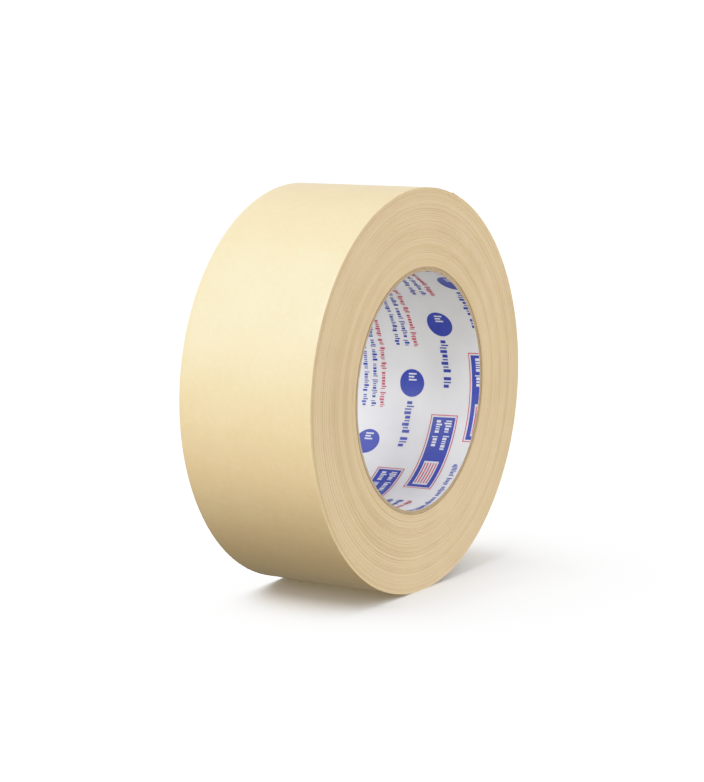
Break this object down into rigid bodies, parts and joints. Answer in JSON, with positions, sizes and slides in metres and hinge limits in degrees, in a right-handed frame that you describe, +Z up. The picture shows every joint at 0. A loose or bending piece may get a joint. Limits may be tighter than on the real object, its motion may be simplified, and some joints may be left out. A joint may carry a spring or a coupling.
{
  "type": "masking tape roll",
  "caption": "Roll of cream crepe-paper masking tape wound on a spiral paperboard core with a printed liner; the free end peels away.",
  "frame": {"origin": "middle of the flat that the roll stands on, straight below the middle of the core's axis", "axes": "+Z up; +Y along the core's axis, from the side that the reference view shows to the far side; +X to the right of that view's front, where the tape's free end lies"},
  "size_m": [0.1299, 0.048, 0.1298],
  "materials": {
    "tape_crepe": "matte",
    "liner_paper": "matte",
    "core_chipboard": "matte"
  },
  "bodies": {
    "roll": {"core_liner": "liner_paper", "core_ply_inner": "core_chipboard", "core_ply_middle": "core_chipboard", "core_ply_outer": "core_chipboard", "tape_winding": "tape_crepe"},
    "end_root": {"tape_end_root": "tape_crepe"},
    "end_middle": {"tape_end_middle": "tape_crepe"},
    "end_tip": {"tape_end_tip": "tape_crepe"}
  },
  "joints": [
    {"name": "end_peel", "type": "hinge", "parent": "roll", "child": "end_root", "pos_m": [0.06091, 0, 0.08788], "axis": [0, 1, 0], "range_deg": [0, 90]},
    {"name": "end_middle_bend", "type": "hinge", "parent": "end_root", "child": "end_middle", "pos_m": [0.05112, 0, 0.10525], "axis": [0, 1, 0], "range_deg": [0, 5]},
    {"name": "end_tip_bend", "type": "hinge", "parent": "end_middle", "child": "end_tip", "pos_m": [0.03653, 0, 0.11884], "axis": [0, 1, 0], "range_deg": [0, 5]}
  ],
  "couplings": [
    {"joint": "end_middle_bend", "follows": "end_peel", "ratio": 0.05},
    {"joint": "end_tip_bend", "follows": "end_peel", "ratio": 0.05}
  ]
}
